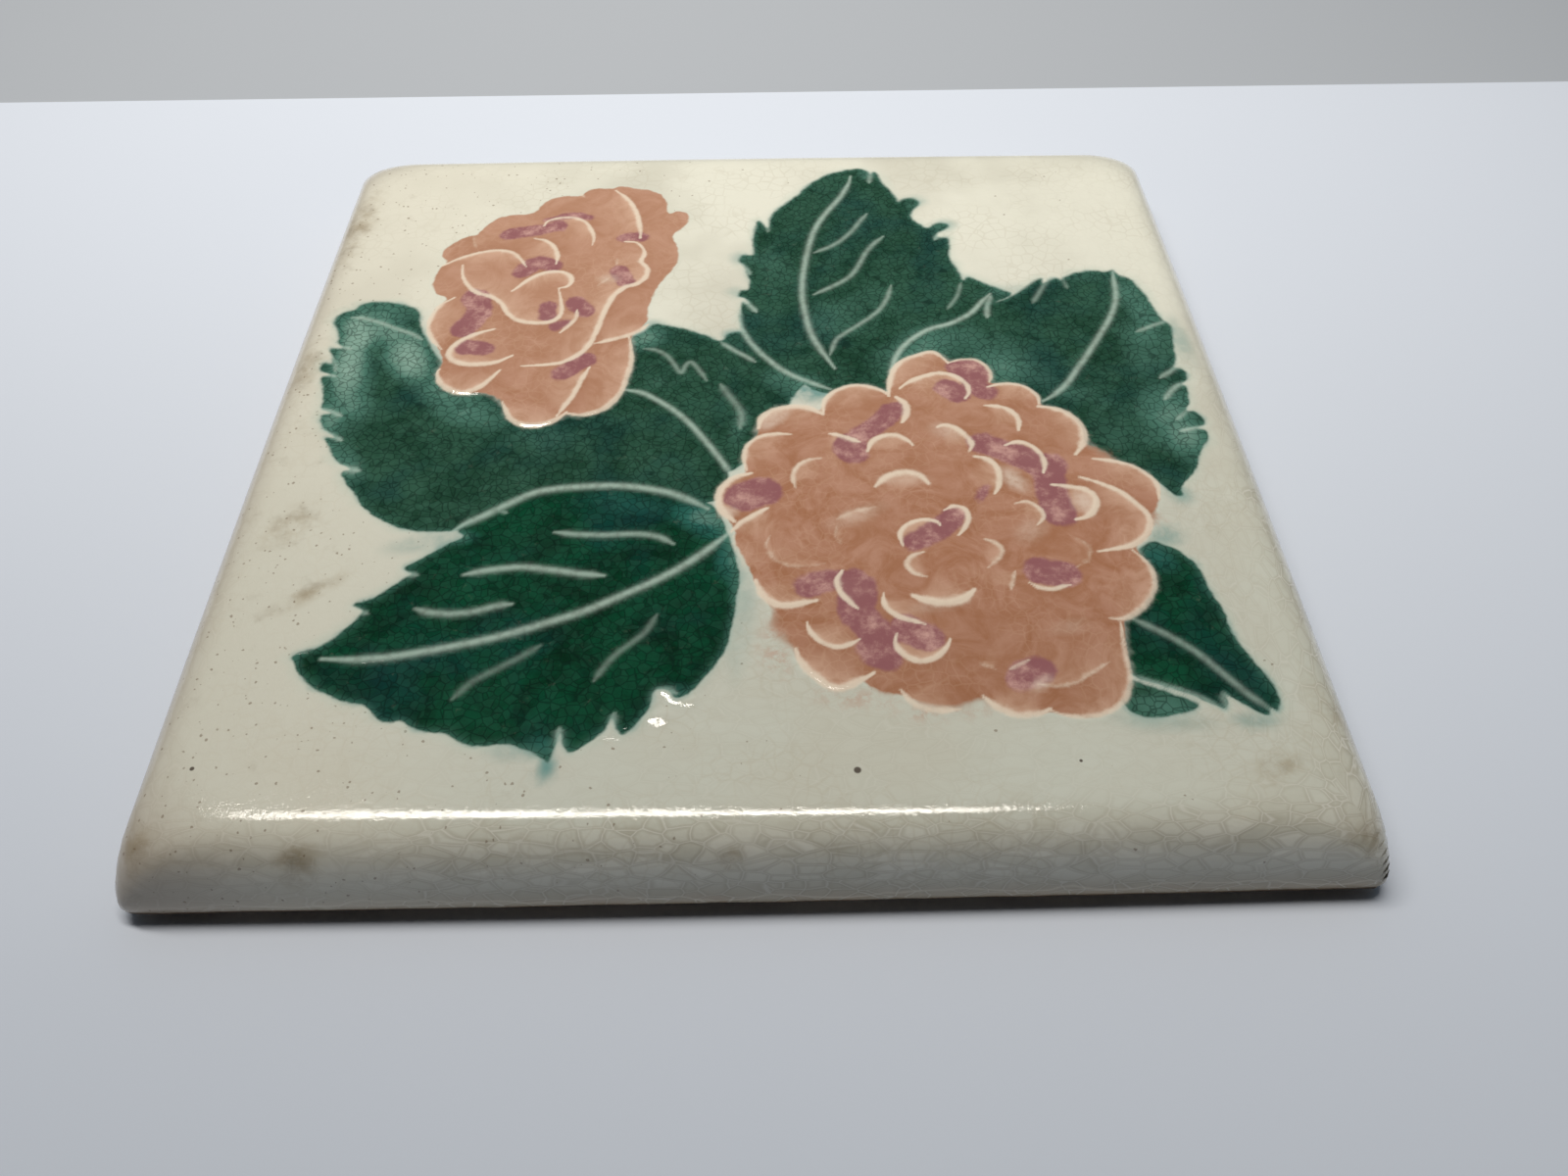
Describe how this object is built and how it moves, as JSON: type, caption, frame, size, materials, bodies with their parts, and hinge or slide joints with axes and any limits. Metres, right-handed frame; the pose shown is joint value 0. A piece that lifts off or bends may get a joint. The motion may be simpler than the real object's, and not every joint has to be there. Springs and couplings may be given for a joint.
{
  "type": "relief wall tile",
  "caption": "Square glazed ceramic wall tile with a rounded cushion edge, a moulded relief of ruffled blooms among toothed leaves, and keying ribs on its back.",
  "frame": {"origin": "middle of the tile's underside, in the plane of the rim and ribs that it rests on", "axes": "+Z out through the glazed face, -Y towards the edge nearest the viewer in the picture, +X to the viewer's right"},
  "size_m": [0.1524, 0.1524, 0.0138],
  "materials": {
    "glaze": "glossy"
  },
  "bodies": {
    "root": {"floral_tile": "glaze"}
  },
  "joints": []
}
